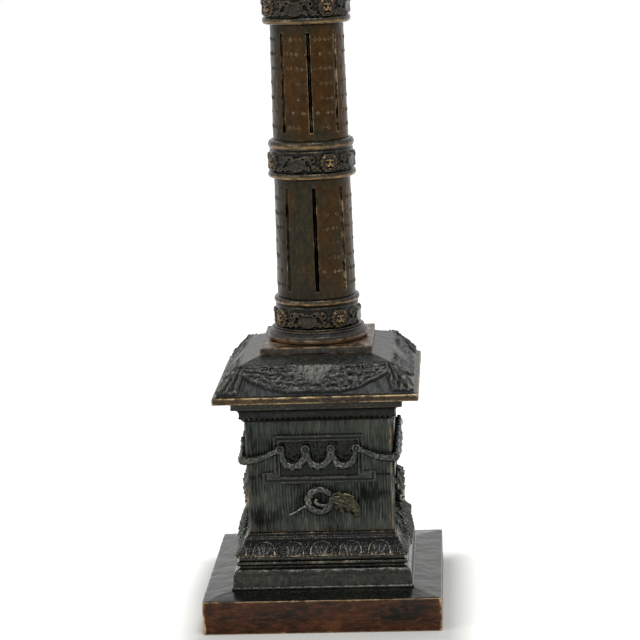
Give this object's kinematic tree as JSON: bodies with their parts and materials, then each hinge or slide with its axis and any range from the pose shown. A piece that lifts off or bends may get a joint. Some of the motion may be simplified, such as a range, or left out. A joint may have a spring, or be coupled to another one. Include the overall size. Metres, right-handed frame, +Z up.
{
  "type": "column candlestick",
  "caption": "Bronze candlestick shaped as a banded column on a garlanded square pedestal, with a drip pan, candle cup and loose bobeche.",
  "frame": {"origin": "centre of the underside", "axes": "+Z up the column, the side with the crown that the picture shows faces -Y, +X to the right of that side"},
  "size_m": [0.12, 0.12, 0.4498],
  "materials": {
    "slab_bronze": "red-brown patina, worn bright on the edges",
    "pedestal_bronze": "dark grey-green patina, worn brown on the edges",
    "relief_bronze": "grey-green patina, worn lighter on the high parts",
    "column_bronze": "warm brown patina, worn to copper on the rings",
    "steel": "plain steel, dulled"
  },
  "bodies": {
    "candlestick": {"base_slab": "slab_bronze", "plinth_course": "pedestal_bronze", "bead_course": "pedestal_bronze", "leaf_course": "pedestal_bronze", "die": "pedestal_bronze", "cornice": "pedestal_bronze", "cap": "pedestal_bronze", "front_tablet": "pedestal_bronze", "front_garland": "relief_bronze", "front_crown": "relief_bronze", "right_tablet": "pedestal_bronze", "right_garland": "relief_bronze", "right_trophy": "relief_bronze", "back_tablet": "pedestal_bronze", "back_garland": "relief_bronze", "back_crown": "relief_bronze", "left_tablet": "pedestal_bronze", "left_garland": "relief_bronze", "left_trophy": "relief_bronze", "column_plinth": "column_bronze", "column_torus": "column_bronze", "lower_collar": "column_bronze", "lower_drum": "column_bronze", "middle_collar": "column_bronze", "middle_drum": "column_bronze", "upper_collar": "column_bronze", "upper_drum": "column_bronze", "neck_ring": "column_bronze", "capital": "column_bronze", "abacus": "column_bronze", "drip_pan": "column_bronze", "candle_cup": "column_bronze", "tie_rod": "steel", "washer_plate": "steel", "rod_nut": "steel"},
    "bobeche": {"bobeche": "column_bronze"}
  },
  "joints": [
    {"name": "bobeche_lift", "type": "slide", "parent": "candlestick", "child": "bobeche", "axis": [0, 0, 1], "range_m": [0, 0.06]}
  ]
}
